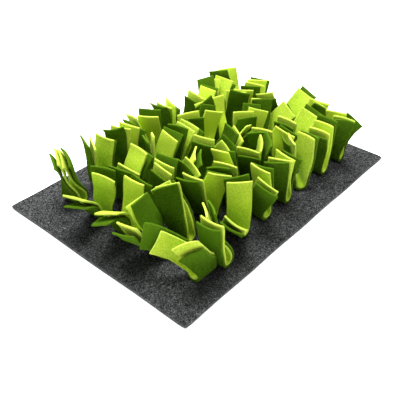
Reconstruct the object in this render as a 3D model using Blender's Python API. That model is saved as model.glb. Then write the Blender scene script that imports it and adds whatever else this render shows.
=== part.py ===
"""Snuffle mat: a felt sheet with tufts of folded felt strips standing on it.

Metres, +Z up. The origin is the centre of the base sheet's underside, and +X runs along its long side.
Each tuft is two strips, one laid inside the other, folded across their middles and held to the base
along the fold, so that four leaves stand up from it: dark, lime, lime, dark.
"""
import itertools
import math

import bpy
import numpy as np
from mathutils.bvhtree import BVHTree

MM = 0.001

# Base sheet, in millimetres like every size below
BASE_LENGTH = 500
BASE_WIDTH = 350
BASE_THICK = 4
CORNER_CUT = 2            # the corners are clipped by this much
SIDE_SWING = 0.8          # how far a cut side swings in between its ends
SIDE_WAVES = (4, 2, 6, 2)  # half waves along each side: -Y, +X, +Y, -X
SIDE_SPANS = 12

# Strips
STRIP_WIDTH = 35
STRIP_THICK = 3
LIME_HALF = 85            # from the fold to a cut end
DARK_HALF = 90            # the same, where the dark strip lies evenly over the fold
LONGEST_HALF = 105        # length over which a leaf is worked out
SEAT_GAP = 0.35           # between the base and the strip that lies on it
LAYER_STEP = 3.6          # from the middle of one layer to the middle of the next
FOLD_RADIUS = 6.8         # of the inner strip's fold
SWAY_RISE = 30            # length over which a leaf turns into its sideways lean
TURN_SHARE = 0.6          # share of a leaf over which it twists
SKEW = 1.2                # degrees that a dark leaf twists further for each millimetre that it parts
LAYERS = ("dark", "lime")
ARC_SPANS = 3
LEAF_SPANS = 6

# Colours of the felts: red, green and blue
COLOURS = {
    "charcoal_felt": (0.075, 0.077, 0.080),
    "dark_felt": (0.045, 0.130, 0.012),
    "lime_felt": (0.400, 0.600, 0.030),
}

# Tufts stand in rows along X
FIRST_X = -177
COLUMN_PITCH = 52
FIRST_Y = -112
ROW_PITCH = 56
# Tufts that stand off their places, and how far along X and Y
OFF_GRID = {"00": (7, -19), "01": (-12, -20), "10": (4, -6), "11": (-8, -8)}

# The stance of each tuft's two legs. A leg is the pair of leaves, dark and lime, on one side of the fold:
# the near leg on the -X side of a fold that runs along +Y, the far leg on the +X side.
#   tuft     row and column, counted from the -Y side and the -X side
#   heading  of the fold line, from +X
#   slide    how far the dark strip is pulled through towards the near leg, in millimetres
#   out      lean away from the other leg
#   sway     lean along the fold line
#   curl     further bend towards the cut end, outwards
#   wave     bend out and back again along the leaf
#   turn     twist of the leaf, anticlockwise from above
#   part     how far the dark leaf's end stands off the lime one's, in millimetres
#   slip     how far it lies beside it, along the fold line, in millimetres
# Angles are in degrees.
STANCES = (
    # tuft, heading, slide, (out, sway, curl, wave, turn, part, slip) of the near leg, the same of the far
    ("00", 0, 14, (22, -42, 30, 0, -52, 6, 0), (-4, -33, 0, 6, -46, 5, 0)),
    ("01", 95, -2, (36, -2, 5, 6, 0, 5, 0), (-20, 18, 0, 0, -45, 6, 0)),
    ("02", 105, -3, (40, -12, 10, 8, -15, 5, 0), (-5, 0, 0, 6, 25, 6, 4)),
    ("03", 85, 4, (20, -15, 5, -8, 5, 6, -4), (-10, 0, 0, 6, 0, 8, 6)),
    ("04", 95, 2, (30, -5, 0, 8, 20, 6, 4), (-10, -5, 0, -10, -10, 8, -4)),
    ("05", 50, 0, (8, 0, 5, 6, 0, 6, 0), (0, 5, 0, 0, 28, 5, 0)),
    ("06", 90, -6, (5, -5, 5, -8, 5, 6, 0), (0, 0, 0, 6, 0, 5, 0)),
    ("07", 95, 5, (15, -12, 5, 0, 20, 8, 0), (-5, 5, 0, 4, 5, 10, -45)),
    ("10", 70, -4, (26, -17, 0, 12, 25, 9, 0), (-28, 33, 10, 0, -66, 8, 0)),
    ("11", 90, 3, (12, 22, 0, 8, 30, 8, 0), (-15, 30, 0, 8, 30, 5, 0)),
    ("12", 90, 5, (24, 2, 10, 10, 5, 6, 0), (-5, -20, 0, -8, 40, 6, 0)),
    ("13", 90, 5, (25, -10, 0, -8, 20, 8, 6), (-10, 15, 0, 6, 0, 8, 0)),
    ("14", 90, -6, (20, -10, 0, -8, 20, 6, -6), (-10, -25, 0, 12, -50, 7, 4)),
    ("15", 90, 0, (20, -5, 0, 8, 10, 7, 5), (-15, -20, 0, -8, 10, 6, -5)),
    ("16", 90, -5, (10, -5, 0, 8, 0, 6, 0), (20, -14, 0, -8, 0, 6, 0)),
    ("17", 90, 4, (0, -20, 0, 8, 20, 6, 0), (-10, -15, 0, 6, 20, 8, 0)),
    ("20", 95, 0, (14, -24, 48, -8, 20, 8, 6), (5, -5, 0, 8, 0, 6, -6)),
    ("21", 90, -6, (8, -25, 8, -8, 0, 6, -6), (-5, -4, 0, 12, 5, 7, 4)),
    ("22", 90, 0, (15, -30, 0, 8, 0, 7, 5), (-5, -15, 0, -8, -50, 6, -5)),
    ("23", 90, -3, (-5, -5, 0, -10, 15, 10, -6), (0, -35, 0, 10, 0, 9, 7)),
    ("24", 90, 4, (-10, -25, 0, 6, -20, 6, 8), (10, -35, 0, -12, -70, 7, -4)),
    ("25", 90, -4, (0, -5, 0, -12, 55, 9, -4), (15, -20, 0, 6, 50, 11, 8)),
    ("26", 90, 3, (-5, 0, 0, 6, 35, 5, 0), (10, -30, 0, -8, 0, 6, -7)),
    ("27", 90, -5, (10, 20, 0, -6, 10, 7, -8), (32, -18, 5, 0, 0, 4, 0)),
    ("30", 95, -3, (34, -8, 12, -10, 10, 8, -6), (-10, -18, 0, 10, 15, 9, 7)),
    ("31", 90, 4, (14, -26, 0, 6, 15, 6, 8), (15, -5, 0, -12, 0, 7, -4)),
    ("32", 90, -4, (-20, 10, 0, -12, -40, 9, -4), (15, -5, 0, 6, 0, 11, 8)),
    ("33", 90, 3, (5, -25, 0, 10, 10, 12, 6), (5, -10, 0, -10, 10, 6, -7)),
    ("34", 90, -5, (5, 5, 0, -6, 50, 7, -8), (0, -20, 0, 8, 70, 10, 5)),
    ("35", 90, 5, (20, -15, 0, 12, 60, 10, 4), (-30, -25, 0, -6, 60, 8, -8)),
    ("36", 90, 6, (20, 0, 0, -8, 35, 6, -6), (10, -15, 0, 8, 50, 7, 4)),
    ("37", 90, 0, (5, -10, 0, 8, 20, 7, 5), (0, 0, 0, -8, 30, 6, -5)),
    ("40", 95, -4, (-5, 8, 40, 10, -38, 5, -3), (-8, 3, -42, -10, -38, 5, -3)),
    ("41", 90, 8, (5, -4, 0, 8, -28, 6, 0), (2, -4, 0, -8, 10, 8, 5)),
    ("42", 90, 5, (0, 0, 0, 12, 20, 10, 4), (0, -5, 0, -6, 20, 8, -8)),
    ("43", 90, -4, (35, 0, 0, -8, -10, 6, -6), (-20, 5, 0, 6, 30, 12, 0)),
    ("44", 90, 7, (10, 0, 20, 8, 0, 5, 0), (-10, 0, 0, -8, -20, 4, 0)),
    ("45", 90, -3, (-10, -20, 0, -10, 0, 10, -6), (30, 0, 0, 10, 0, 9, 7)),
    ("46", 90, 4, (-5, 10, 0, 6, 0, 6, 8), (0, 0, 0, -12, 20, 7, -4)),
    ("47", 90, 4, (15, 5, 0, -12, 20, 6, 0), (-15, 0, 0, 6, 40, 6, 0)),
)

# How a leg gives way where it would run into one that already stands
EASE_STEP = 5
EASE_MOST = 45
CLEARANCE = 0.25          # kept on each side of the felt while a leg finds its place
REACH = 190               # tufts further apart than this never meet
STEM = ARC_SPANS + 3      # sections of a leg that keep their place until its turn comes


def smooth(share):
    """Rise from 0 to 1 with level ends, for a share that is first kept between 0 and 1."""
    share = np.clip(share, 0, 1)
    return share * share * (3 - 2 * share)


def leaf_line(tuft, side, layer, stance, arc_spans=ARC_SPANS, leaf_spans=LEAF_SPANS):
    """Middle line, width direction and inward normal of one leaf, a row for each of its sections.

    The lime leaf's line leaves the fold level, climbs on an arc until it leans as the stance says, and
    runs on with a bend that grows with the square of the length and a wave on top of it. Its points are
    the running sum of the direction over short steps. The dark leaf lies outside it, one layer off at the
    fold, parts from it and slips beside it towards the cut end, and ends where its own length is used up.
    Both have their sections at nearly the same lengths of the lime line until close to the cut end.
    """
    x, y, heading, slide = tuft
    out, sway, curl, wave, turn = (math.radians(angle) for angle in stance[:5])
    part, slip = stance[5:]
    along = np.array([math.cos(heading), math.sin(heading), 0])
    outward = side * np.array([math.sin(heading), -math.cos(heading), 0])
    upward = np.array([0, 0, 1])
    length = LIME_HALF if layer == "lime" else DARK_HALF - side * slide
    arc = FOLD_RADIUS * (math.pi / 2 - out)
    steps = np.linspace(0, LONGEST_HALF, 201)

    rest = np.maximum((steps - arc) / (LIME_HALF - arc), 0)
    bend = curl * rest ** 2 + wave * np.sin(2 * math.pi * rest)
    tilt = np.where(steps < arc, math.pi / 2 - steps / FOLD_RADIUS, out + bend)[:, None]
    lean = (sway * smooth((steps - arc / 2) / SWAY_RISE))[:, None]
    twist = (turn * smooth(rest / TURN_SHARE))[:, None]
    climb = np.sin(tilt) * outward + np.cos(tilt) * upward
    ahead = np.cos(lean) * climb + np.sin(lean) * along
    across = -np.sin(lean) * climb + np.cos(lean) * along
    width = np.cos(twist) * across + np.sin(twist) * np.cross(ahead, across)
    inward = side * np.cross(ahead, width)

    foot = np.array([x, y, BASE_THICK + SEAT_GAP + STRIP_THICK / 2 + LAYER_STEP])
    moves = (ahead[1:] + ahead[:-1]) / 2 * np.diff(steps)[:, None]
    line = foot + np.vstack([np.zeros(3), np.cumsum(moves, axis=0)])
    end = length
    if layer == "dark":
        shift = rest[:, None] ** 2 * (slip * width - part * inward)
        line = line - LAYER_STEP * inward + shift
        ahead = ahead + np.gradient(shift, steps, axis=0)
        ahead /= np.linalg.norm(ahead, axis=1)[:, None]
        skew = (math.radians(SKEW * part) * rest ** 2)[:, None]
        width = np.cos(skew) * width + np.sin(skew) * side * inward
        width -= (width * ahead).sum(axis=1)[:, None] * ahead
        width /= np.linalg.norm(width, axis=1)[:, None]
        inward = side * np.cross(ahead, width)
        run = np.concatenate([[0], np.cumsum(np.linalg.norm(np.diff(line, axis=0), axis=1))])
        end = np.interp(length, run, steps)
    share = np.linspace(0, 1, leaf_spans + 1)
    leaf = arc + (LIME_HALF - arc) * share + (end - LIME_HALF) * share ** 3
    stations = np.concatenate([np.linspace(0, arc, arc_spans + 1)[:-1], leaf])

    def pick(rows):
        return np.stack([np.interp(stations, steps, rows[:, axis]) for axis in range(3)], axis=1)

    return pick(line), pick(width), pick(inward)


def felt_sections(line, width, inward, half_width, half_thick):
    """The four corners of the felt at each section, as an array of sections, corners and axes."""
    edge = width * half_width
    face = inward * half_thick
    return np.stack([line - edge - face, line + edge - face, line + edge + face, line - edge + face], axis=1)


def closed_ribbon(corners):
    """Vertices and faces of the body that runs through the sections, with a flat cap on each end.

    Both wide faces are cut into triangles along the same diagonals, so that the felt keeps its thickness.
    """
    count = len(corners)
    faces = [(0, 1, 2, 3), tuple(4 * (count - 1) + k for k in (3, 2, 1, 0))]
    for row, k in itertools.product(range(count - 1), range(4)):
        here, after = 4 * row + k, 4 * row + (k + 1) % 4
        if k < 2:
            faces += [(here, here + 4, after), (after, here + 4, after + 4)]
        else:
            faces += [(here, here + 4, after + 4), (here, after + 4, after)]
    return corners.reshape(-1, 3), faces


def leaf_shell(tuft, side, layer, stance, first, last):
    """Search tree of one leaf between two of its sections, made thicker and wider by the clearance."""
    corners = felt_sections(*leaf_line(tuft, side, layer, stance), STRIP_WIDTH / 2 + CLEARANCE,
                            STRIP_THICK / 2 + CLEARANCE)
    vertices, faces = closed_ribbon(corners[first:last])
    return BVHTree.FromPolygons(vertices.tolist(), faces)


def leg_shells(tuft, side, stance, first=None, last=None):
    return [leaf_shell(tuft, side, layer, stance, first, last) for layer in LAYERS]


def touches(shells, others):
    return any(shell.overlap(other) for shell in shells for other in others)


def eased_stances(stance):
    """The wanted stance of a leg, then ones that differ from it more and more."""
    out, sway, curl, wave, turn, part, slip = stance
    angles = range(-EASE_MOST, EASE_MOST + 1, EASE_STEP)
    changes = [(math.hypot(more_out, more_sway) + 25 * (1 - kept), more_out, more_sway, kept)
               for more_out, more_sway, kept in itertools.product(angles, angles, (1, 0.5, 0))]
    for _, more_out, more_sway, kept in sorted(changes):
        yield out + more_out, sway + more_sway, curl, wave, turn * kept, part * kept, slip * kept


def find_stances():
    """Give every leg the stance nearest to the wanted one in which it touches no leg that stands.

    Returns the tuft's place and heading and the leg's stance, for each tuft and side.
    """
    places = {}
    for name, heading, slide, *_ in STANCES:
        row, column = int(name[0]), int(name[1])
        aside, back = OFF_GRID.get(name, (0, 0))
        x, y = FIRST_X + COLUMN_PITCH * column + aside, FIRST_Y + ROW_PITCH * row + back
        places[name] = (x, y, math.radians(heading), slide)
    upright = (0, 0, 0, 0, 0, 0, 0)
    standing = {name: leg_shells(place, -1, upright, last=STEM) + leg_shells(place, 1, upright, last=STEM)
                for name, place in places.items()}
    found = {}
    for name, _, _, *legs in STANCES:
        tuft = places[name]
        obstacles = [shell for other, place in places.items()
                     if other != name and math.dist(place[:2], tuft[:2]) < REACH
                     for shell in standing[other]]
        standing[name] = []
        partner = []
        for side, wanted in zip((-1, 1), legs):
            for stance in eased_stances(wanted):
                if touches(leg_shells(tuft, side, stance), obstacles):
                    continue
                if not touches(leg_shells(tuft, side, stance, first=ARC_SPANS), partner):
                    break
            else:
                raise ValueError(f"the leg on side {side} of tuft {name} finds no room")
            found[name, side] = tuft, stance
            partner = leg_shells(tuft, side, stance, first=ARC_SPANS)
            standing[name] += leg_shells(tuft, side, stance)
    return found


def strip_body(tuft, layer, near, far):
    """Vertices and faces of a whole strip, from the cut end of its far leaf to that of its near leaf."""
    leaves = [felt_sections(*leaf_line(tuft, side, layer, stance), STRIP_WIDTH / 2, STRIP_THICK / 2)
              for side, stance in ((1, far), (-1, near))]
    return closed_ribbon(np.concatenate([leaves[0][::-1], leaves[1][1:]]))


def sheet_body():
    """Vertices and faces of the base sheet, whose cut sides swing in a little between their ends."""
    outline = []
    for quarter in range(4):
        along = np.array([math.cos(quarter * math.pi / 2), math.sin(quarter * math.pi / 2)])
        outward = np.array([along[1], -along[0]])
        half, reach = BASE_LENGTH / 2, BASE_WIDTH / 2
        if quarter % 2:
            half, reach = reach, half
        for share in np.linspace(-1, 1, SIDE_SPANS + 1):
            swing = SIDE_SWING * (1 - math.cos(SIDE_WAVES[quarter] * math.pi * share)) / 2
            outline.append(share * (half - CORNER_CUT) * along + (reach - swing) * outward)
    count = len(outline)
    vertices = np.array([(*point, height) for height in (0, BASE_THICK) for point in outline])
    faces = [tuple(range(count))[::-1], tuple(range(count, 2 * count))]
    faces += [(k, (k + 1) % count, count + (k + 1) % count, count + k) for k in range(count)]
    return vertices, faces


def make_felt(name, colour):
    material = bpy.data.materials.new(name)
    material.use_nodes = True
    shader = material.node_tree.nodes["Principled BSDF"]
    shader.inputs["Base Color"].default_value = (*colour, 1)
    shader.inputs["Roughness"].default_value = 0.95
    shader.inputs["Metallic"].default_value = 0
    return material


def add_object(name, body, material):
    vertices, faces = body
    mesh = bpy.data.meshes.new(name)
    mesh.from_pydata((vertices * MM).tolist(), [], faces)
    mesh.materials.append(material)
    bpy.context.scene.collection.objects.link(bpy.data.objects.new(name, mesh))


def main():
    for old in list(bpy.data.objects):
        bpy.data.objects.remove(old)
    felts = {name: make_felt(name, colour) for name, colour in COLOURS.items()}
    add_object("base_sheet", sheet_body(), felts["charcoal_felt"])
    found = find_stances()
    for name, *_ in STANCES:
        (tuft, near), (_, far) = found[name, -1], found[name, 1]
        add_object(f"dark_strip_{name}", strip_body(tuft, "dark", near, far), felts["dark_felt"])
        if name[0] in "04" or name[1] == "0":
            add_object(f"lime_strip_{name}", strip_body(tuft, "lime", near, far), felts["lime_felt"])


if __name__ == "__main__":
    main()
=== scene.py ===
# %% [markdown]
# # A snuffle mat in felt
#
# A snuffle mat is a sheet of thick grey felt with tufts of green felt strips standing on it. Treats are
# dropped between the strips, and a dog or a cat has to sniff them out. Each tuft is two strips, a dark green
# one with a lime one laid inside it, folded across their middles and held down along the fold. Four leaves
# stand up from every fold: dark, lime, lime, dark.
#
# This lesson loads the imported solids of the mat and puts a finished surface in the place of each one. The
# measures are in millimetres until a mesh is made, because that is how the felt would be cut.

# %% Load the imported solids
import itertools
import math

import bpy
import numpy as np
from mathutils import Matrix, Vector
from mathutils.bvhtree import BVHTree


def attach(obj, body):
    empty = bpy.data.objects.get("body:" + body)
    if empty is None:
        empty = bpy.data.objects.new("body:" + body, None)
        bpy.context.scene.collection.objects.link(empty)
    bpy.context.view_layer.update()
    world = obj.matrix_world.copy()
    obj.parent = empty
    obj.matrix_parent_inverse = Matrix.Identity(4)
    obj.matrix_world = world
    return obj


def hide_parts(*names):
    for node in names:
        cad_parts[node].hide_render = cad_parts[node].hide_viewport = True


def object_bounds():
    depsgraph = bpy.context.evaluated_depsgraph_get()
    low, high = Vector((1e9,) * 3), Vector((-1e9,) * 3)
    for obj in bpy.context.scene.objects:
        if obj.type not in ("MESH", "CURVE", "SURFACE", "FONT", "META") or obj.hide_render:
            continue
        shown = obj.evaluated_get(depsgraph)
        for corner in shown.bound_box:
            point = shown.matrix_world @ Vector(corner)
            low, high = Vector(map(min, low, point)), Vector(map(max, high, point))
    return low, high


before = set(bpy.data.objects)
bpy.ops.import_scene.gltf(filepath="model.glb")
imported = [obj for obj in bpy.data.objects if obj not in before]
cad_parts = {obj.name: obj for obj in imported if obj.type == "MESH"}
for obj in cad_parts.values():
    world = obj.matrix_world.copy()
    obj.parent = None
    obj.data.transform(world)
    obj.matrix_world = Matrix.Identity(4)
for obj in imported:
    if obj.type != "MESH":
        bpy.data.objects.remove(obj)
solids_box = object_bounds()
MM = 0.001
sides = [round(side / MM, 1) for side in solids_box[1] - solids_box[0]]
print(len(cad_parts), "solids in a box of", sides, "mm")

# %% [markdown]
# ## Camera, floor and light
#
# The mat is seen from one corner, from above. A camera could be dragged into place by hand; here it is
# placed by the point it looks at, its bearing, its height angle and its distance, so that each of them can
# be changed alone. The floor is plain and pale. The light could come from a picture of a room, but a plain
# bright room and two large panels are easier to steer: the one overhead and the one behind the mat make
# the tops of the leaves bright and leave the hollows between them deep.

# %% Place the camera
LOOK_AT = (-46.574, -21.464, 0.0)
CAMERA_BEARING = -49.73       # degrees from straight in front
CAMERA_HEIGHT_ANGLE = 37.088  # degrees above the floor
CAMERA_ROLL = 1.081           # degrees
CAMERA_DISTANCE = 883.458
CAMERA_LENS = 52.04           # on a sensor 36 mm wide


def place_camera():
    """Put the camera at look_at + distance * back, where back points from the mat to the camera."""
    bearing, rise, roll = (math.radians(a) for a in (CAMERA_BEARING, CAMERA_HEIGHT_ANGLE, CAMERA_ROLL))
    back = Vector((math.sin(bearing) * math.cos(rise), -math.cos(bearing) * math.cos(rise), math.sin(rise)))
    right = Vector((math.cos(bearing), math.sin(bearing), 0))
    up = back.cross(right)
    right, up = (math.cos(roll) * right + math.sin(roll) * up, math.cos(roll) * up - math.sin(roll) * right)
    camera = bpy.data.objects.new("camera", bpy.data.cameras.new("camera"))
    camera.data.lens = CAMERA_LENS
    camera.data.sensor_width = 36
    camera.data.clip_start = 0.01
    camera.matrix_world = (Matrix.Translation((Vector(LOOK_AT) + CAMERA_DISTANCE * back) * MM)
                           @ Matrix((right, up, back)).transposed().to_4x4())
    bpy.context.scene.collection.objects.link(camera)
    bpy.context.scene.camera = camera
    return camera


camera = place_camera()
print("camera at", [round(value, 3) for value in camera.location])

# %% Short names for shader nodes


def add_node(tree, kind, settings=(), **inputs):
    """Add a node, set its properties from settings and its sockets from inputs.

    A socket goes by its name, with _ for a space, or by its number, as in _0.
    """
    node = tree.nodes.new(kind)
    for key, value in dict(settings).items():
        setattr(node, key, value)
    for key, value in inputs.items():
        socket = node.inputs[int(key[1:]) if key[0] == "_" and key[1:].isdigit() else key.replace("_", " ")]
        if isinstance(value, bpy.types.NodeSocket):
            tree.links.new(value, socket)
        else:
            socket.default_value = value
    return node


def maths(tree, operation, first, second=0.0):
    """One step of arithmetic on two values, each of them a number or another node's socket."""
    return add_node(tree, "ShaderNodeMath", {"operation": operation}, _0=first, _1=second).outputs[0]


def weighted_sum(tree, *parts):
    """The sum of value * weight over the parts, each of them a value and its weight."""
    total = None
    for value, weight in parts:
        term = maths(tree, "MULTIPLY", value, weight)
        total = term if total is None else maths(tree, "ADD", total, term)
    return total


print("helpers:", add_node.__name__, maths.__name__, weighted_sum.__name__)

# %% Lay the floor
FLOOR_SIZE = 60000            # millimetres each way
FLOOR_WHITE = 0.95
FLOOR_ROUGHNESS = 0.9
FLOOR_GLOW = 0.45


def build_floor():
    """A square, so wide that its far edge lies at the horizon, which glows a little to stay white."""
    half = FLOOR_SIZE / 2 * MM
    corners = [(-half, -half, 0), (half, -half, 0), (half, half, 0), (-half, half, 0)]
    mesh = bpy.data.meshes.new("floor")
    mesh.from_pydata(corners, [], [(0, 1, 2, 3)])
    white = bpy.data.materials.new("floor_white")
    white.use_nodes = True
    shader = white.node_tree.nodes["Principled BSDF"]
    shader.inputs["Base Color"].default_value = (FLOOR_WHITE, FLOOR_WHITE, FLOOR_WHITE, 1)
    shader.inputs["Roughness"].default_value = FLOOR_ROUGHNESS
    shader.inputs["Emission Color"].default_value = (1, 1, 1, 1)
    shader.inputs["Emission Strength"].default_value = FLOOR_GLOW
    mesh.materials.append(white)
    floor = bpy.data.objects.new("floor", mesh)
    bpy.context.scene.collection.objects.link(floor)
    return floor


floor = build_floor()
print("floor:", round(floor.dimensions.x), "metres wide")

# %% Light the room
ROOM_LIGHT = 0.55
HORIZON_LIGHT = 1.0
HORIZON_FALL = 10             # the higher, the closer to the horizon the room is as bright as there
# The panels: name, width and depth, place, the point it faces (all in millimetres), and power in watts
PANELS = (
    ("overhead_panel", 600, 600, (0, 150, 1100), (0, 0, 0), 20),
    ("back_panel", 900, 500, (700, 900, 700), (100, 80, 40), 24),
)


def build_lights():
    """A room whose strength is room + (horizon - room) * (1 - |height|)^fall, and the panels."""
    world = bpy.data.worlds.new("room")
    world.use_nodes = True
    tree = world.node_tree
    direction = add_node(tree, "ShaderNodeTexCoord").outputs["Generated"]
    rise = add_node(tree, "ShaderNodeSeparateXYZ", Vector=direction).outputs["Z"]
    lowness = maths(tree, "SUBTRACT", 1.0, maths(tree, "ABSOLUTE", rise))
    near_horizon = maths(tree, "POWER", lowness, HORIZON_FALL)
    strength = add_node(tree, "ShaderNodeMapRange", Value=near_horizon, To_Min=ROOM_LIGHT,
                        To_Max=HORIZON_LIGHT)
    background = tree.nodes["Background"]
    background.inputs["Color"].default_value = (1, 1, 1, 1)
    tree.links.new(strength.outputs["Result"], background.inputs["Strength"])
    bpy.context.scene.world = world
    for name, width, depth, place, target, power in PANELS:
        light = bpy.data.lights.new(name, "AREA")
        light.shape = "RECTANGLE"
        light.size = width * MM
        light.size_y = depth * MM
        light.energy = power
        panel = bpy.data.objects.new(name, light)
        panel.location = Vector(place) * MM
        panel.rotation_euler = (Vector(place) - Vector(target)).to_track_quat("Z", "Y").to_euler()
        bpy.context.scene.collection.objects.link(panel)


build_lights()
bpy.context.scene.view_settings.view_transform = "Standard"
print(len(PANELS), "light panels")

# %% [markdown]
# ## Felt
#
# Felt is a mat of short fibres, so up close no patch has quite the colour of the next one. A scanned cloth
# could be laid over the strips, but it would repeat and show its seams; noise patterns don't, and they
# keep their scale on every piece. The dyed felts get four layers of them: broad clouds some centimetres
# wide, specks of about two millimetres, a fine grain of about one, and thin curly fibres, which are the
# lines where a noise pattern crosses its middle value. The two finest layers drive the bump.
#
# Three attributes on the meshes change the colour as well. "cut" says where a strip was cut, as loose
# fibre ends catch the light there and look paler. "tone" makes one strip a little lighter than another.
# "free" grows from the fold to the free ends: it paints shade deep in the fold, where the leaves shade
# each other, and paints light on the free ends, which reach up into the light.

# %% Noise patterns for felt


def grain(tree, place, scale, detail, distortion=0.0):
    """A noise pattern with scale features to the metre, from 0 to 1 around a middle value of a half."""
    return add_node(tree, "ShaderNodeTexNoise", Vector=place, Scale=scale, Detail=detail,
                    Distortion=distortion).outputs["Fac"]


def fibres(tree, place, scale, thinness, distortion):
    """Curly lines: 1 where the noise pattern has its middle value, falling to 0 beside it."""
    noise = grain(tree, place, scale, 1.0, distortion)
    off_middle = maths(tree, "ABSOLUTE", maths(tree, "SUBTRACT", noise, 0.5))
    line = maths(tree, "SUBTRACT", 1.0, maths(tree, "MULTIPLY", off_middle, thinness))
    return maths(tree, "MAXIMUM", line, 0.0)


def spots(tree, noise, low, high):
    """Spots with soft edges: 0 where the noise is under low, 1 where it is over high."""
    return add_node(tree, "ShaderNodeMapRange", Value=noise, From_Min=low, From_Max=high).outputs["Result"]


def blend(tree, share, first, second):
    """The colour first * (1 - share) + second * share; each of the three is a value or a socket."""
    node = add_node(tree, "ShaderNodeMix", {"data_type": "RGBA"})
    for number, value in ((0, share), (6, first), (7, second)):
        if isinstance(value, bpy.types.NodeSocket):
            tree.links.new(value, node.inputs[number])
        else:
            node.inputs[number].default_value = value
    return node.outputs[2]


def attribute(tree, name):
    """The value that the mesh carries under this name, or 0 where it carries none."""
    return add_node(tree, "ShaderNodeAttribute", {"attribute_name": name}).outputs["Fac"]


def felt_shader(name, roughness):
    """A new material without any gloss, its node tree, its shader and the place on the object."""
    material = bpy.data.materials.new(name)
    material.use_nodes = True
    tree = material.node_tree
    shader = tree.nodes["Principled BSDF"]
    shader.inputs["Roughness"].default_value = roughness
    shader.inputs["Specular IOR Level"].default_value = 0.0
    return material, tree, shader, add_node(tree, "ShaderNodeTexCoord").outputs["Object"]


def finish_felt(tree, shader, colour, relief, strength, depth):
    """Join the colour and the relief to the shader; strength and depth in metres are the bump's."""
    tree.links.new(colour, shader.inputs["Base Color"])
    bump = add_node(tree, "ShaderNodeBump", Height=relief, Strength=strength, Distance=depth)
    tree.links.new(bump.outputs["Normal"], shader.inputs["Normal"])


print("patterns:", grain.__name__, fibres.__name__, spots.__name__)

# %% Dyed felt in two greens
# The noise patterns: features to the metre and detail; thinness and distortion of the curls
CLOUDS = (45, 2.0)
SPECKS = (480, 2.0)
SPECK_EDGES = (0.40, 0.60)
FINE_GRAIN = (900, 3.0)
FINE_CURLS = (420, 14, 1.5)
# Shares in the mix of the deep and the plain colour
CLOUD_SHARE = 0.6
SPECK_SHARE = 0.45
GRAIN_SHARE = 0.7
# Painted shade and light by "free": deeper near the fold, where the leaves shade each other, paler at the
# free ends
FREE_SHARE = 0.6
FREE_MIDDLE = 0.4             # where along a leaf, by "free", the colour is its plain mix
# Shares of the pale colour
CURL_LIFT = 0.16
CUT_LIFT = 0.12
SPECK_LIFT = 0.05
# The relief: shares of the grain and the curls in it, and the bump's strength and depth in metres
DYED_RELIEF = (0.7, 0.5)
DYED_BUMP = (0.55, 0.0006)
DYED_ROUGHNESS = 0.95
SHEEN_ROUGHNESS = 0.6


def dyed_felt(name, deep, plain, pale, painted_tip_light, sheen, sheen_tint):
    """Felt of one dye: deep and plain colours mixed by clouds, specks and grain, pale on cuts and fibres.

    The share of plain is clouds + specks + grain + tone + free, each by its own weight and kept between 0
    and 1, so the colour is deeper near the fold, which is painted shade, and paler towards the free ends.
    The share of pale is curls + cut + specks, and free by its own weight, which paints light on the free
    ends.
    """
    material, tree, shader, place = felt_shader(name, DYED_ROUGHNESS)
    clouds = grain(tree, place, *CLOUDS)
    specks = spots(tree, grain(tree, place, *SPECKS), *SPECK_EDGES)
    fine = grain(tree, place, *FINE_GRAIN)
    curls = fibres(tree, place, *FINE_CURLS)
    free = attribute(tree, "free")
    # The free term paints shade near the fold and light towards the free ends
    mottle = weighted_sum(tree, (clouds, CLOUD_SHARE), (fine, GRAIN_SHARE),
                          (maths(tree, "SUBTRACT", specks, 0.5), SPECK_SHARE), (attribute(tree, "tone"), 1.0),
                          (maths(tree, "SUBTRACT", free, FREE_MIDDLE), FREE_SHARE))
    mottle = maths(tree, "MINIMUM", maths(tree, "MAXIMUM", mottle, 0.0), 1.0)
    colour = blend(tree, mottle, (*deep, 1), (*plain, 1))
    # Free, by its weight, paints light on the free ends
    lift = weighted_sum(tree, (curls, CURL_LIFT), (attribute(tree, "cut"), CUT_LIFT), (free, painted_tip_light),
                        (specks, SPECK_LIFT))
    colour = blend(tree, lift, colour, (*pale, 1))
    shader.inputs["Sheen Weight"].default_value = sheen
    shader.inputs["Sheen Roughness"].default_value = SHEEN_ROUGHNESS
    shader.inputs["Sheen Tint"].default_value = (*sheen_tint, 1)
    relief = weighted_sum(tree, *zip((fine, curls), DYED_RELIEF))
    finish_felt(tree, shader, colour, relief, *DYED_BUMP)
    return material


lime_felt = dyed_felt("lime_felt_finish", deep=(0.25, 0.43, 0.002), plain=(0.49, 0.68, 0.010),
                      pale=(0.86, 0.94, 0.28), painted_tip_light=0.09, sheen=0.10, sheen_tint=(1.0, 1.0, 0.5))
dark_felt = dyed_felt("dark_felt_finish", deep=(0.009, 0.034, 0.0008), plain=(0.039, 0.103, 0.003),
                      pale=(0.20, 0.36, 0.02), painted_tip_light=0.05, sheen=0.08, sheen_tint=(0.6, 1.0, 0.1))
FELTS = {"dark": dark_felt, "lime": lime_felt}
print("felts:", [felt.name for felt in FELTS.values()])

# %% [markdown]
# ## The base sheet
#
# The base is cut from needled felt of black, grey and white fibres, so it looks mottled, with pale curls on
# a dark ground. A box with a Bevel modifier would do for a board. This sheet was cut with scissors and
# lies a little unevenly, so its surface is worked out as a grid over the top, rings round the cut edge and
# a grid under the bottom, and the sides can swing in and the top can wave.

# %% Mottled charcoal felt
BLOTS = (280, 1.0, 0.4)       # features to the metre, detail, distortion
BLOT_EDGES = (0.48, 0.62)
BASE_GRAIN = (1100, 3.0)      # features to the metre, detail
LONG_CURLS = (190, 24, 2.0)   # features to the metre, thinness, distortion
SHORT_CURLS = (430, 16, 2.0)
LONG_CURL_LIFT = 0.50
SHORT_CURL_LIFT = 0.22
BASE_RELIEF = (0.7, 0.8)      # as for the dyed felt
BASE_BUMP = (0.6, 0.0009)
BASE_ROUGHNESS = 0.97


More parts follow.
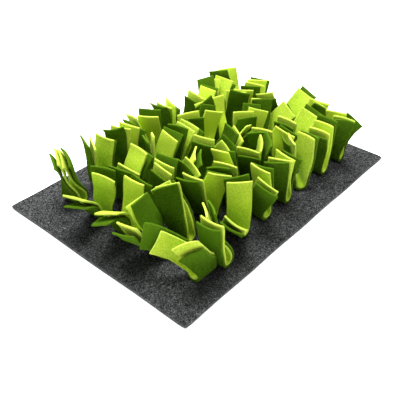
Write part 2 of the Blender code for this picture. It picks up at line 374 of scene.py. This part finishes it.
def mottled_felt(name, black, grey, white):
    """Undyed mixed felt: black and grey in blots a few millimetres wide, with two sets of pale curls."""
    material, tree, shader, place = felt_shader(name, BASE_ROUGHNESS)
    blots = spots(tree, grain(tree, place, *BLOTS), *BLOT_EDGES)
    fine = grain(tree, place, *BASE_GRAIN)
    curls = fibres(tree, place, *LONG_CURLS)
    short_curls = fibres(tree, place, *SHORT_CURLS)
    colour = blend(tree, blots, (*black, 1), (*grey, 1))
    lift = weighted_sum(tree, (curls, LONG_CURL_LIFT), (short_curls, SHORT_CURL_LIFT),
                        (attribute(tree, "cut"), CUT_LIFT))
    colour = blend(tree, lift, colour, (*white, 1))
    relief = weighted_sum(tree, *zip((fine, curls), BASE_RELIEF))
    finish_felt(tree, shader, colour, relief, *BASE_BUMP)
    return material


charcoal_felt = mottled_felt("charcoal_felt_finish", black=(0.0008, 0.0008, 0.001),
                             grey=(0.021, 0.023, 0.023), white=(0.33, 0.34, 0.34))
print("felt:", charcoal_felt.name)

# %% Surfaces from numpy grids


def grid_faces(rows, columns, closed):
    """Quads of a grid of rows by columns points; a closed one joins its last column to its first."""
    row = np.arange(rows - 1)[:, None] * columns
    column = np.arange(columns if closed else columns - 1)[None, :]
    after = (column + 1) % columns
    quads = [row + column, row + columns + column, row + columns + after, row + after]
    return np.stack(quads, axis=-1).reshape(-1, 4)


def add_piece(name, points, faces, material, attributes):
    """Make a smooth mesh object that moves with the mat, from points in millimetres.

    Faces is a list of arrays of vertex numbers, each with one row for every face of the same size.
    """
    loops = np.concatenate([rows.ravel() for rows in faces]).astype(np.int32)
    sizes = np.concatenate([np.full(len(rows), rows.shape[1]) for rows in faces])
    mesh = bpy.data.meshes.new(name)
    mesh.vertices.add(len(points))
    mesh.vertices.foreach_set("co", (points * MM).astype(np.float32).ravel())
    mesh.loops.add(len(loops))
    mesh.loops.foreach_set("vertex_index", loops)
    mesh.polygons.add(len(sizes))
    mesh.polygons.foreach_set("loop_start", np.concatenate([[0], np.cumsum(sizes)[:-1]]).astype(np.int32))
    mesh.update(calc_edges=True)
    mesh.polygons.foreach_set("use_smooth", np.ones(len(sizes), dtype=bool))
    for key, values in attributes.items():
        layer = mesh.attributes.new(key, "FLOAT", "POINT")
        layer.data.foreach_set("value", values.astype(np.float32).ravel())
    mesh.materials.append(material)
    piece = bpy.data.objects.new(name, mesh)
    bpy.context.scene.collection.objects.link(piece)
    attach(piece, "root")
    return piece


print("a ring of 4 points carried over 3 rows has", len(grid_faces(3, 4, closed=True)), "faces")

# %% Layers of the base sheet
BASE_LENGTH = 500
BASE_WIDTH = 350
BASE_THICK = 4
CORNER_CUT = 2
SIDE_SWING = 0.8
SIDE_WAVES = (4, 2, 6, 2)     # whole waves along the sides -Y, +X, +Y, -X
BASE_SPANS = (168, 118)
CORNER_SHARPNESS = 40
SLOW_LENGTHS = (23, 31, 19)   # lengths of the top's waves, for each radian
SLOW_START = -0.7
QUICK_LENGTHS = (9, 13)
QUICK_SHARE = 0.5


def side_reach(quarter, share, reach):
    """How far a side stands out at a share of its length, from -1 to 1: reach less a small wave."""
    return reach - SIDE_SWING * (1 - np.cos(SIDE_WAVES[quarter] * np.pi * share)) / 2


def base_layer(inset, height, wave):
    """One layer of the sheet: a grid over -1 to 1 both ways, pushed out to the wavy sides less the inset.

    x = u * reach of the +X or -X side at v, and y = v * reach of the +Y or -Y side at u. Both are then
    scaled by 1 - corner_cut / width * |u v|^sharpness, which only bites right at a corner. The height has
    a product of two slow waves on top of it, and a share of a quicker one that runs slantwise.
    """
    u, v = np.meshgrid(*(np.linspace(-1, 1, spans + 1) for spans in BASE_SPANS), indexing="ij")
    reach_x = np.where(u > 0, side_reach(1, v, BASE_LENGTH / 2), side_reach(3, -v, BASE_LENGTH / 2))
    reach_y = np.where(v > 0, side_reach(2, -u, BASE_WIDTH / 2), side_reach(0, u, BASE_WIDTH / 2))
    bite = 1 - CORNER_CUT / BASE_WIDTH * np.abs(u * v) ** CORNER_SHARPNESS
    x = u * (reach_x - inset) * bite
    y = v * (reach_y - inset) * bite
    slow = (np.sin(x / SLOW_LENGTHS[0] + np.sin(y / SLOW_LENGTHS[1]))
            * np.cos(y / SLOW_LENGTHS[2] + SLOW_START))
    quick = np.sin(x / QUICK_LENGTHS[0] + y / QUICK_LENGTHS[1])
    return np.stack([x, y, height + wave * (slow + QUICK_SHARE * quick)], axis=-1)


outline = base_layer(0, 0, 0)
print("a layer measures", np.ptp(outline[..., 0]).round(1), "by", np.ptp(outline[..., 1]).round(1), "mm")

# %% Build the base sheet
EDGE_ROUND = 1.3
EDGE_POINTS = 4               # on the rounded edge, from the top to the side
TOP_WAVE = 0.1
TOP_SINK = 0.6                # how far the middle of the wave lies under the top, in shares of the wave


def ring_of(rows, columns):
    """Indices of a grid's border, counter-clockwise from above, each once."""
    index = np.arange(rows * columns).reshape(rows, columns)
    return np.concatenate([index[:-1, 0], index[-1, :-1], index[:0:-1, -1], index[0, :0:-1]])


def build_base():
    """The top and the bottom layer, joined by rings that go round the edge on a rounded profile."""
    rows, columns = BASE_SPANS[0] + 1, BASE_SPANS[1] + 1
    border = ring_of(rows, columns)
    profile = [(EDGE_ROUND * (1 - math.cos(angle)), EDGE_ROUND * (1 - math.sin(angle)))
               for angle in np.linspace(math.pi / 2, 0, EDGE_POINTS)]
    edge = profile[1:] + [(inset, BASE_THICK - drop) for inset, drop in profile[:0:-1]]
    top = base_layer(EDGE_ROUND, BASE_THICK - TOP_WAVE * TOP_SINK, TOP_WAVE).reshape(-1, 3)
    bottom = base_layer(EDGE_ROUND, 0.0, 0.0).reshape(-1, 3)
    rings = [base_layer(inset, BASE_THICK - drop, 0.0).reshape(-1, 3)[border] for inset, drop in edge]
    points = np.concatenate([top, *rings, bottom])
    ring_starts = len(top) + np.arange(len(rings)) * len(border)
    bottom_start = len(top) + len(rings) * len(border)
    loops = [border, *[start + np.arange(len(border)) for start in ring_starts], bottom_start + border]
    walls = [np.stack([upper, lower, np.roll(lower, -1), np.roll(upper, -1)], axis=-1)
             for upper, lower in zip(loops, loops[1:])]
    quads = grid_faces(rows, columns, closed=False)
    below = quads + bottom_start
    cut = np.zeros(len(points))
    cut[len(top):bottom_start] = 1
    faces = np.concatenate([quads, below[:, ::-1], *walls])
    return add_piece("felt_base", points, [faces], charcoal_felt, {"cut": cut})


base = build_base()
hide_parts("base_sheet")
print("base:", len(base.data.polygons), "faces")

# %% [markdown]
# ## How the tufts stand
#
# Forty tufts stand in five rows of eight. Each one has two legs, and a leg is a dark leaf with a lime leaf
# inside it. A cloth simulation could drop the strips into place, but it would let them fall where it likes.
# Here a table says how each leg would like to stand; where it would run into a leg that already stands, it
# gives way, as real felt does, and takes the nearest stance that is free. The solids were made by the same
# rules, so the finished strips fall exactly in their places.

# %% Measures of the strips
STRIP_WIDTH = 35
STRIP_THICK = 3
LIME_HALF = 85            # from the fold to a cut end
DARK_HALF = 90            # the same, where the dark strip lies evenly over the fold
LONGEST_HALF = 105        # length over which a leaf is worked out
SEAT_GAP = 0.35           # between the base and the strip that lies on it
LAYER_STEP = 3.6          # from the middle of one layer to the middle of the next
FOLD_RADIUS = 6.8         # of the inner strip's fold
SWAY_RISE = 30            # length over which a leaf turns into its sideways lean
TURN_SHARE = 0.6          # share of a leaf over which it twists
SKEW = 1.2                # degrees that a dark leaf twists further for each millimetre that it parts
LAYERS = ("dark", "lime")
ARC_SPANS = 3
LEAF_SPANS = 6
LINE_POINTS = 201         # at which a leaf is worked out before its sections are picked
print("a dark strip is cut", 2 * DARK_HALF, "mm long, a lime one", 2 * LIME_HALF)

# %% The stance of each tuft
FIRST_X = -177
COLUMN_PITCH = 52
FIRST_Y = -112
ROW_PITCH = 56
# Tufts that stand off their places, and how far along X and Y
OFF_GRID = {"00": (7, -19), "01": (-12, -20), "10": (4, -6), "11": (-8, -8)}

# The stance of each tuft's two legs. The near leg is on the -X side of a fold that runs along +Y.
#   tuft     row and column, counted from the -Y side and the -X side
#   heading  of the fold line, from +X
#   slide    how far the dark strip is pulled through towards the near leg, in millimetres
#   out      lean away from the other leg
#   sway     lean along the fold line
#   curl     further bend towards the cut end, outwards
#   wave     bend out and back again along the leaf
#   turn     twist of the leaf, anticlockwise from above
#   part     how far the dark leaf's end stands off the lime one's, in millimetres
#   slip     how far it lies beside it, along the fold line, in millimetres
# Angles are in degrees.
STANCES = (
    # tuft, heading, slide, (out, sway, curl, wave, turn, part, slip) of the near leg, the same of the far
    ("00", 0, 14, (22, -42, 30, 0, -52, 6, 0), (-4, -33, 0, 6, -46, 5, 0)),
    ("01", 95, -2, (36, -2, 5, 6, 0, 5, 0), (-20, 18, 0, 0, -45, 6, 0)),
    ("02", 105, -3, (40, -12, 10, 8, -15, 5, 0), (-5, 0, 0, 6, 25, 6, 4)),
    ("03", 85, 4, (20, -15, 5, -8, 5, 6, -4), (-10, 0, 0, 6, 0, 8, 6)),
    ("04", 95, 2, (30, -5, 0, 8, 20, 6, 4), (-10, -5, 0, -10, -10, 8, -4)),
    ("05", 50, 0, (8, 0, 5, 6, 0, 6, 0), (0, 5, 0, 0, 28, 5, 0)),
    ("06", 90, -6, (5, -5, 5, -8, 5, 6, 0), (0, 0, 0, 6, 0, 5, 0)),
    ("07", 95, 5, (15, -12, 5, 0, 20, 8, 0), (-5, 5, 0, 4, 5, 10, -45)),
    ("10", 70, -4, (26, -17, 0, 12, 25, 9, 0), (-28, 33, 10, 0, -66, 8, 0)),
    ("11", 90, 3, (12, 22, 0, 8, 30, 8, 0), (-15, 30, 0, 8, 30, 5, 0)),
    ("12", 90, 5, (24, 2, 10, 10, 5, 6, 0), (-5, -20, 0, -8, 40, 6, 0)),
    ("13", 90, 5, (25, -10, 0, -8, 20, 8, 6), (-10, 15, 0, 6, 0, 8, 0)),
    ("14", 90, -6, (20, -10, 0, -8, 20, 6, -6), (-10, -25, 0, 12, -50, 7, 4)),
    ("15", 90, 0, (20, -5, 0, 8, 10, 7, 5), (-15, -20, 0, -8, 10, 6, -5)),
    ("16", 90, -5, (10, -5, 0, 8, 0, 6, 0), (20, -14, 0, -8, 0, 6, 0)),
    ("17", 90, 4, (0, -20, 0, 8, 20, 6, 0), (-10, -15, 0, 6, 20, 8, 0)),
    ("20", 95, 0, (14, -24, 48, -8, 20, 8, 6), (5, -5, 0, 8, 0, 6, -6)),
    ("21", 90, -6, (8, -25, 8, -8, 0, 6, -6), (-5, -4, 0, 12, 5, 7, 4)),
    ("22", 90, 0, (15, -30, 0, 8, 0, 7, 5), (-5, -15, 0, -8, -50, 6, -5)),
    ("23", 90, -3, (-5, -5, 0, -10, 15, 10, -6), (0, -35, 0, 10, 0, 9, 7)),
    ("24", 90, 4, (-10, -25, 0, 6, -20, 6, 8), (10, -35, 0, -12, -70, 7, -4)),
    ("25", 90, -4, (0, -5, 0, -12, 55, 9, -4), (15, -20, 0, 6, 50, 11, 8)),
    ("26", 90, 3, (-5, 0, 0, 6, 35, 5, 0), (10, -30, 0, -8, 0, 6, -7)),
    ("27", 90, -5, (10, 20, 0, -6, 10, 7, -8), (32, -18, 5, 0, 0, 4, 0)),
    ("30", 95, -3, (34, -8, 12, -10, 10, 8, -6), (-10, -18, 0, 10, 15, 9, 7)),
    ("31", 90, 4, (14, -26, 0, 6, 15, 6, 8), (15, -5, 0, -12, 0, 7, -4)),
    ("32", 90, -4, (-20, 10, 0, -12, -40, 9, -4), (15, -5, 0, 6, 0, 11, 8)),
    ("33", 90, 3, (5, -25, 0, 10, 10, 12, 6), (5, -10, 0, -10, 10, 6, -7)),
    ("34", 90, -5, (5, 5, 0, -6, 50, 7, -8), (0, -20, 0, 8, 70, 10, 5)),
    ("35", 90, 5, (20, -15, 0, 12, 60, 10, 4), (-30, -25, 0, -6, 60, 8, -8)),
    ("36", 90, 6, (20, 0, 0, -8, 35, 6, -6), (10, -15, 0, 8, 50, 7, 4)),
    ("37", 90, 0, (5, -10, 0, 8, 20, 7, 5), (0, 0, 0, -8, 30, 6, -5)),
    ("40", 95, -4, (-5, 8, 40, 10, -38, 5, -3), (-8, 3, -42, -10, -38, 5, -3)),
    ("41", 90, 8, (5, -4, 0, 8, -28, 6, 0), (2, -4, 0, -8, 10, 8, 5)),
    ("42", 90, 5, (0, 0, 0, 12, 20, 10, 4), (0, -5, 0, -6, 20, 8, -8)),
    ("43", 90, -4, (35, 0, 0, -8, -10, 6, -6), (-20, 5, 0, 6, 30, 12, 0)),
    ("44", 90, 7, (10, 0, 20, 8, 0, 5, 0), (-10, 0, 0, -8, -20, 4, 0)),
    ("45", 90, -3, (-10, -20, 0, -10, 0, 10, -6), (30, 0, 0, 10, 0, 9, 7)),
    ("46", 90, 4, (-5, 10, 0, 6, 0, 6, 8), (0, 0, 0, -12, 20, 7, -4)),
    ("47", 90, 4, (15, 5, 0, -12, 20, 6, 0), (-15, 0, 0, 6, 40, 6, 0)),
)
print(len(STANCES), "tufts")

# %% The middle line of a leaf


def smooth(share):
    """Rise from 0 to 1 with level ends, for a share that is first kept between 0 and 1."""
    share = np.clip(share, 0, 1)
    return share * share * (3 - 2 * share)


def leaf_line(tuft, side, layer, stance, arc_spans=ARC_SPANS, leaf_spans=LEAF_SPANS):
    """Middle line, width direction and inward normal of one leaf, a row for each of its sections.

    The lime leaf's line leaves the fold level, climbs on an arc until it leans as the stance says, and
    runs on with a bend that grows with the square of the length and a wave on top of it. Its points are
    the running sum of the direction over short steps. The dark leaf lies outside it, one layer off at the
    fold, parts from it and slips beside it towards the cut end, and ends where its own length is used up.
    """
    x, y, heading, slide = tuft
    out, sway, curl, wave, turn = (math.radians(angle) for angle in stance[:5])
    part, slip = stance[5:]
    along = np.array([math.cos(heading), math.sin(heading), 0])
    outward = side * np.array([math.sin(heading), -math.cos(heading), 0])
    upward = np.array([0, 0, 1])
    length = LIME_HALF if layer == "lime" else DARK_HALF - side * slide
    arc = FOLD_RADIUS * (math.pi / 2 - out)
    steps = np.linspace(0, LONGEST_HALF, LINE_POINTS)

    rest = np.maximum((steps - arc) / (LIME_HALF - arc), 0)
    bend = curl * rest ** 2 + wave * np.sin(2 * math.pi * rest)
    tilt = np.where(steps < arc, math.pi / 2 - steps / FOLD_RADIUS, out + bend)[:, None]
    lean = (sway * smooth((steps - arc / 2) / SWAY_RISE))[:, None]
    twist = (turn * smooth(rest / TURN_SHARE))[:, None]
    climb = np.sin(tilt) * outward + np.cos(tilt) * upward
    ahead = np.cos(lean) * climb + np.sin(lean) * along
    across = -np.sin(lean) * climb + np.cos(lean) * along
    width = np.cos(twist) * across + np.sin(twist) * np.cross(ahead, across)
    inward = side * np.cross(ahead, width)

    foot = np.array([x, y, BASE_THICK + SEAT_GAP + STRIP_THICK / 2 + LAYER_STEP])
    moves = (ahead[1:] + ahead[:-1]) / 2 * np.diff(steps)[:, None]
    line = foot + np.vstack([np.zeros(3), np.cumsum(moves, axis=0)])
    end = length
    if layer == "dark":
        shift = rest[:, None] ** 2 * (slip * width - part * inward)
        line = line - LAYER_STEP * inward + shift
        ahead = ahead + np.gradient(shift, steps, axis=0)
        ahead /= np.linalg.norm(ahead, axis=1)[:, None]
        skew = (math.radians(SKEW * part) * rest ** 2)[:, None]
        width = np.cos(skew) * width + np.sin(skew) * side * inward
        width -= (width * ahead).sum(axis=1)[:, None] * ahead
        width /= np.linalg.norm(width, axis=1)[:, None]
        inward = side * np.cross(ahead, width)
        run = np.concatenate([[0], np.cumsum(np.linalg.norm(np.diff(line, axis=0), axis=1))])
        end = np.interp(length, run, steps)
    share = np.linspace(0, 1, leaf_spans + 1)
    leaf = arc + (LIME_HALF - arc) * share + (end - LIME_HALF) * share ** 3
    stations = np.concatenate([np.linspace(0, arc, arc_spans + 1)[:-1], leaf])

    def pick(rows):
        """The rows' values at the stations, in straight lines between the steps."""
        return np.stack([np.interp(stations, steps, rows[:, axis]) for axis in range(3)], axis=1)

    return pick(line), pick(width), pick(inward)


tip = leaf_line((0, 0, 0, 0), 1, "lime", (0, 0, 0, 0, 0, 0, 0))[0][-1]
print("an upright lime leaf ends", round(tip[2]), "mm above the floor")

# %% Let the legs find their places
EASE_STEP = 5             # degrees by which a leg gives way further
EASE_MOST = 45
TWIST_KEPT = (1, 0.5, 0)  # shares of its turn, part and slip that a leg may keep
TWIST_COST = 25           # degrees of lean that count as much as giving up all of them
CLEARANCE = 0.25          # kept on each side of the felt while a leg finds its place
REACH = 190               # tufts further apart than this never meet
STEM = ARC_SPANS + 3      # sections of a leg that keep their place until its turn comes


def leaf_shell(tuft, side, layer, stance, first, last):
    """Search tree of one leaf between two of its sections, made thicker and wider by the clearance."""
    line, width, inward = leaf_line(tuft, side, layer, stance)
    edge = width * (STRIP_WIDTH / 2 + CLEARANCE)
    face = inward * (STRIP_THICK / 2 + CLEARANCE)
    corners = [line - edge - face, line + edge - face, line + edge + face, line - edge + face]
    corners = np.stack(corners, axis=1)[first:last]
    count = len(corners)
    faces = [(0, 1, 2, 3), tuple(4 * (count - 1) + k for k in (3, 2, 1, 0))]
    for row, k in itertools.product(range(count - 1), range(4)):
        here, after = 4 * row + k, 4 * row + (k + 1) % 4
        if k < 2:
            faces += [(here, here + 4, after), (after, here + 4, after + 4)]
        else:
            faces += [(here, here + 4, after + 4), (here, after + 4, after)]
    return BVHTree.FromPolygons(corners.reshape(-1, 3).tolist(), faces)


def leg_shells(tuft, side, stance, first=None, last=None):
    """The search trees of a leg's two leaves."""
    return [leaf_shell(tuft, side, layer, stance, first, last) for layer in LAYERS]


def touches(shells, others):
    """Whether a leaf of one group cuts into a leaf of the other."""
    return any(shell.overlap(other) for shell in shells for other in others)


def eased_stances(stance):
    """The wanted stance of a leg, then ones that differ from it more and more.

    The difference is hypot(more out, more sway) + cost * (1 - share of the twist that is kept).
    """
    out, sway, curl, wave, turn, part, slip = stance
    angles = range(-EASE_MOST, EASE_MOST + 1, EASE_STEP)
    changes = [(math.hypot(more_out, more_sway) + TWIST_COST * (1 - kept), more_out, more_sway, kept)
               for more_out, more_sway, kept in itertools.product(angles, angles, TWIST_KEPT)]
    for _, more_out, more_sway, kept in sorted(changes):
        yield out + more_out, sway + more_sway, curl, wave, turn * kept, part * kept, slip * kept


def find_stances():
    """Give every leg the stance nearest to the wanted one in which it touches no leg that stands."""
    places = {}
    for name, heading, slide, *_ in STANCES:
        row, column = int(name[0]), int(name[1])
        aside, back = OFF_GRID.get(name, (0, 0))
        x, y = FIRST_X + COLUMN_PITCH * column + aside, FIRST_Y + ROW_PITCH * row + back
        places[name] = (x, y, math.radians(heading), slide)
    upright = (0, 0, 0, 0, 0, 0, 0)
    standing = {name: leg_shells(place, -1, upright, last=STEM) + leg_shells(place, 1, upright, last=STEM)
                for name, place in places.items()}
    found = {}
    for name, _, _, *legs in STANCES:
        tuft = places[name]
        obstacles = [shell for other, place in places.items()
                     if other != name and math.dist(place[:2], tuft[:2]) < REACH
                     for shell in standing[other]]
        standing[name] = []
        partner = []
        for side, wanted in zip((-1, 1), legs):
            for stance in eased_stances(wanted):
                if touches(leg_shells(tuft, side, stance), obstacles):
                    continue
                if not touches(leg_shells(tuft, side, stance, first=ARC_SPANS), partner):
                    break
            else:
                raise ValueError(f"the leg on side {side} of tuft {name} finds no room")
            found[name, side] = tuft, stance
            partner = leg_shells(tuft, side, stance, first=ARC_SPANS)
            standing[name] += leg_shells(tuft, side, stance)
    return found


stances = find_stances()
eased = sum(stances[name, side][1][:2] != wanted[:2]
            for name, _, _, *legs in STANCES for side, wanted in zip((-1, 1), legs))
print(len(stances), "legs,", eased, "of them gave way")

# %% [markdown]
# ## The finished strips
#
# A strip could be a folded plane with a Solidify modifier, but its edges would all be alike. So it is a
# profile carried along the line of its two leaves. The profile is the cut of the felt: two wide faces and
# two cut sides with rounded rims. On its way the strip gets what tells cut felt from a flat bar: the knife
# wandered, so the sides aren't parallel; the ends aren't square; each leaf is dished a little across its
# width, more towards its free end; and the faces have soft dents.

# %% The profile of cut felt
FELT_ROUND = 1.15             # radius of the rims
FACE_SPANS = 9
FACE_INNER = 0.85             # share of the half width that has even spans
FACE_OUTER = 0.955            # where the last point before a rim lies
RIM_START = 0.5               # how far the felt counts as cut where a face meets a rim


def felt_profile():
    """Points round the cut, a row for each.

    A row has the place across and through the strip, from -1 to 1, the two parts of the rim's radius to
    add to it, and how far the point is cut felt. The faces are straight, and each rim is a quarter circle:
    a point is centre + round * (cos a, sin a).
    """
    even = np.linspace(-FACE_INNER, FACE_INNER, FACE_SPANS - 3)
    flat = np.concatenate([[-1, -FACE_OUTER], even, [FACE_OUTER, 1]])
    points = []
    for start, across, through in ((-90, 1, -1), (0, 1, 1), (90, -1, 1), (180, -1, -1)):
        face_comes_first = start in (-90, 90)
        if face_comes_first:
            points += [(share * across, through, 0.0, 0.0, RIM_START * (abs(share) == 1)) for share in flat]
        for turn in (45, 90) if face_comes_first else (0, 45):
            angle = math.radians(start + turn)
            points.append((across, through, math.cos(angle), math.sin(angle), 1.0))
    return np.array(points)


PROFILE = felt_profile()
print(len(PROFILE), "points round the cut")

# %% The path of a strip
FINE_ARC_SPANS = 5
FINE_LEAF_SPANS = 24
END_RINGS = (0.0, 0.3, 1.15)  # how far the last rings lie from a cut end
END_ZONE = 3                  # no other section lies closer to a cut end


def strip_path(name, layer):
    """The middle line of a whole strip, from the cut end of its far leaf to that of its near leaf.

    Returns the stations along it, in millimetres, where on it the fold is, and the point, the width
    direction and the normal at each station. Close to a cut end the end rings take the place of the
    leaf's own sections.
    """
    (tuft, near), (_, far) = stances[name, -1], stances[name, 1]
    leaves = [leaf_line(tuft, side, layer, stance, FINE_ARC_SPANS, FINE_LEAF_SPANS)
              for side, stance in ((1, far), (-1, near))]
    joined = [np.concatenate([far_part[::-1], near_part[1:]]) for far_part, near_part in zip(*leaves)]
    run = np.concatenate([[0], np.cumsum(np.linalg.norm(np.diff(joined[0], axis=0), axis=1))])
    inner = run[(run > END_ZONE) & (run < run[-1] - END_ZONE)]
    rings = np.array(END_RINGS)
    stations = np.concatenate([rings, inner, run[-1] - rings[::-1]])
    line, width, normal = (np.stack([np.interp(stations, run, rows[:, axis]) for axis in range(3)], axis=1)
                           for rows in joined)
    return stations, run[FINE_ARC_SPANS + FINE_LEAF_SPANS], line, width, normal


print("a strip has", len(strip_path("00", "lime")[0]), "rings")

# %% The surface of a strip
CUT_ZONE = 0.8                # the felt is cut felt this far from a cut end
KNIFE_WANDER = 0.55
WANDER_MIDDLE = 0.4
WANDER_RISE = 4               # length over which the wander starts at a cut end
WAVE_LENGTHS = (22, 60)       # range of the waves' lengths, for each radian
END_SLANT = 0.05              # slope of a cut end, at most about 3 degrees
SLANT_REACH = 18
DISH = 2.6
DISH_MIDDLE = 0.33            # about the mean of across^2, so a dish doesn't move the leaf as a whole
DISH_SEED = 900
LAYER_SEEDS = {"dark": 0, "lime": 100}
DENT = 0.30
BROAD_DENTS = (2, 2)          # waves along, by their drawn length, and radians across
NARROW_DENTS = (4, 1.3)
NARROW_SHARE = 0.6
DENT_RISE = 3                 # how much sooner than the dish the dents grow along a leaf


def strip_surface(name, layer, seed):
    """Grid of points of a whole strip, how far each is cut felt, and how free each ring is.

    point = line + width * sideways + normal * (upright + dish + dent) + ahead * slant. Sideways and
    upright carry the profile, whose rims shrink to the sides as a quarter circle does at a cut end, with
    the wander of the knife on top: amount * (sine wave - middle). Dish = amount * free * (across^2 -
    middle), where free is the square of the share of a leaf's length. Dent is the sum of two products of
    waves, one along and one across the strip.
    """
    stations, fold, line, width, normal = strip_path(name, layer)
    ahead = np.gradient(line, stations, axis=0)
    from_end = np.minimum(stations, stations[-1] - stations)
    free = (np.abs(stations - fold) / LIME_HALF) ** 2
    chance = np.random.default_rng(seed)
    waves = chance.uniform(0, 2 * np.pi, 8)
    lengths = chance.uniform(*WAVE_LENGTHS, 8)
    slants = np.where(stations < fold, *chance.uniform(-1, 1, 2)) * END_SLANT
    same_for_both_layers = np.random.default_rng(seed % LAYER_SEEDS["lime"] + DISH_SEED)
    dishes = np.where(stations < fold, *same_for_both_layers.uniform(-1, 1, 2)) * DISH * free

    across, through, rim_across, rim_through, cut = PROFILE.T
    half_width = STRIP_WIDTH / 2 - FELT_ROUND
    half_thick = STRIP_THICK / 2 - FELT_ROUND
    rim = np.sqrt(np.maximum(FELT_ROUND ** 2 - np.maximum(FELT_ROUND - from_end, 0) ** 2, 0))[:, None]
    wander = [(KNIFE_WANDER * (np.sin(stations / lengths[side] + waves[side]) - WANDER_MIDDLE))[:, None]
              for side in (0, 1)]
    shift = (1 + across) / 2 * wander[0] - (1 - across) / 2 * wander[1]
    sideways = across * half_width + shift * np.minimum(1, from_end / WANDER_RISE)[:, None] + rim_across * rim
    flat_face = (rim_across == 0) & (rim_through == 0)
    upright = np.sign(through) * (half_thick + flat_face * rim) + rim_through * rim
    dish = dishes[:, None] * (across ** 2 - DISH_MIDDLE)
    broad, narrow = (np.sin(along * stations / lengths[wave] + waves[wave])[:, None]
                     * np.sin(sidewise * across + waves[wave + 1])
                     for wave, (along, sidewise) in ((2, BROAD_DENTS), (4, NARROW_DENTS)))
    dent = DENT * (broad + NARROW_SHARE * narrow) * np.minimum(1, DENT_RISE * free)[:, None]
    slant = (slants * smooth(1 - from_end / SLANT_REACH))[:, None] * sideways

    points = (line[:, None] + width[:, None] * sideways[..., None]
              + normal[:, None] * (upright + dish + dent)[..., None] + ahead[:, None] * slant[..., None])
    return points, np.maximum(cut[None, :], (from_end < CUT_ZONE)[:, None] * 1.0), free


print("a strip has", strip_surface("00", "lime", LAYER_SEEDS["lime"])[0][..., 0].size, "points")

# %% Build the strips
TONE_SPREAD = 0.40            # how much lighter or darker than the plain mix a strip may be
TONE_SEED = 500


def build_strip(name, layer, seed):
    """Make one strip with its attributes, put it in the place of its solid, and return its grid of points."""
    points, cut, free = strip_surface(name, layer, seed)
    rows, columns = points.shape[:2]
    caps = np.stack([np.arange(columns), (rows - 1) * columns + np.arange(columns)[::-1]])
    tone = np.random.default_rng(seed + TONE_SEED).uniform(-TONE_SPREAD, TONE_SPREAD)
    # "free" also drives the felt's painted fold shade and painted light on the free ends
    attributes = {"cut": cut, "tone": np.full(rows * columns, tone), "free": np.repeat(free, columns)}
    faces = [grid_faces(rows, columns, closed=True), caps]
    piece = add_piece(f"{layer}_leaves_{name}", points.reshape(-1, 3), faces, FELTS[layer],
                      attributes)
    if f"{layer}_strip_{name}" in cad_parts:
        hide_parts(f"{layer}_strip_{name}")
    return points


surfaces = {(layer, name): build_strip(name, layer, LAYER_SEEDS[layer] + number)
            for number, (name, *_) in enumerate(STANCES) for layer in LAYERS}
print(len(surfaces), "strips of", surfaces["dark", "00"].shape[:2], "points")

# %% [markdown]
# ## Loose fibres
#
# Cut felt has a fuzz of loose fibre ends, most of all along its cut edges. Hair curves could grow it, but
# the fibres are so short that one thin triangle each is enough, and triangles go wherever a mesh can go.
# A fibre starts on the felt and points out of it with a random slant. All fibres of one colour are one
# mesh.

# %% Grow the fuzz
EDGE_FIBRES = 620             # on each strip
FACE_FIBRES = 420
FIBRE_LENGTH = 1.7
FIBRE_WIDTH = 0.13
FIBRE_SLANT = 0.8             # spread of the random slant, where the normal counts as 1
SLANT_LEVEL = 0.7             # share of the slant along the normal that is taken away
LIFT_LENGTH = 1.4             # usual length of normal and slant together
SHORTEST = 0.3                # of a fibre, where the longest counts as 1
FUZZ_PALENESS = 0.5           # of the fibres, by "cut" and "free"
FUZZ_SEED = 7


def fibre_points(points, allowed_columns, count, chance):
    """Corners of count thin triangles that stand on random spots of a closed grid of points.

    A spot is a bilinear mix of a quad's corners, the felt's normal there is the cross product of its
    sides, and the tip is spot + length * (normal + slant), the slant being random and mostly level.
    """
    rows, columns = points.shape[:2]
    row = chance.integers(0, rows - 1, count)
    column = allowed_columns[chance.integers(0, len(allowed_columns), count)]
    after = (column + 1) % columns
    a, b, c, d = points[row, column], points[row + 1, column], points[row + 1, after], points[row, after]
    s, t = chance.random((2, count, 1))
    spot = (a * (1 - s) + b * s) * (1 - t) + (d * (1 - s) + c * s) * t
    normal = np.cross(b - a + c - d, d - a + c - b)
    normal /= np.linalg.norm(normal, axis=1)[:, None] + 1e-9
    slant = chance.normal(0, FIBRE_SLANT, (count, 3))
    lift = normal + slant - (slant * normal).sum(axis=1)[:, None] * normal * SLANT_LEVEL
    tip = spot + lift * FIBRE_LENGTH * chance.uniform(SHORTEST, 1.0, (count, 1)) / LIFT_LENGTH
    side = np.cross(lift, chance.normal(0, 1, (count, 3)))
    side *= FIBRE_WIDTH / 2 / (np.linalg.norm(side, axis=1)[:, None] + 1e-9)
    return np.stack([spot - side, spot + side, tip], axis=1)


def build_fuzz(layer):
    """One mesh of all fibres on the strips of one layer: more on the rims, where the felt is cut."""
    chance = np.random.default_rng(FUZZ_SEED)
    rim = np.flatnonzero(PROFILE[:, 4] == 1)
    every = np.arange(len(PROFILE))
    corners = np.concatenate([
        fibre_points(points, columns, count, chance)
        for (which, _), points in surfaces.items() if which == layer
        for columns, count in ((rim, EDGE_FIBRES), (every, FACE_FIBRES))])
    points = corners.reshape(-1, 3)
    triangles = np.arange(len(points)).reshape(-1, 3)
    # Free at this value gives the fibres a middle share of the painted fold shade and tip light
    attributes = {key: np.full(len(points), FUZZ_PALENESS) for key in ("cut", "free")}
    add_piece(f"{layer}_fuzz", points, [triangles], FELTS[layer], attributes)
    return len(triangles)


for layer in FELTS:
    print(layer, "fuzz:", build_fuzz(layer), "fibres")
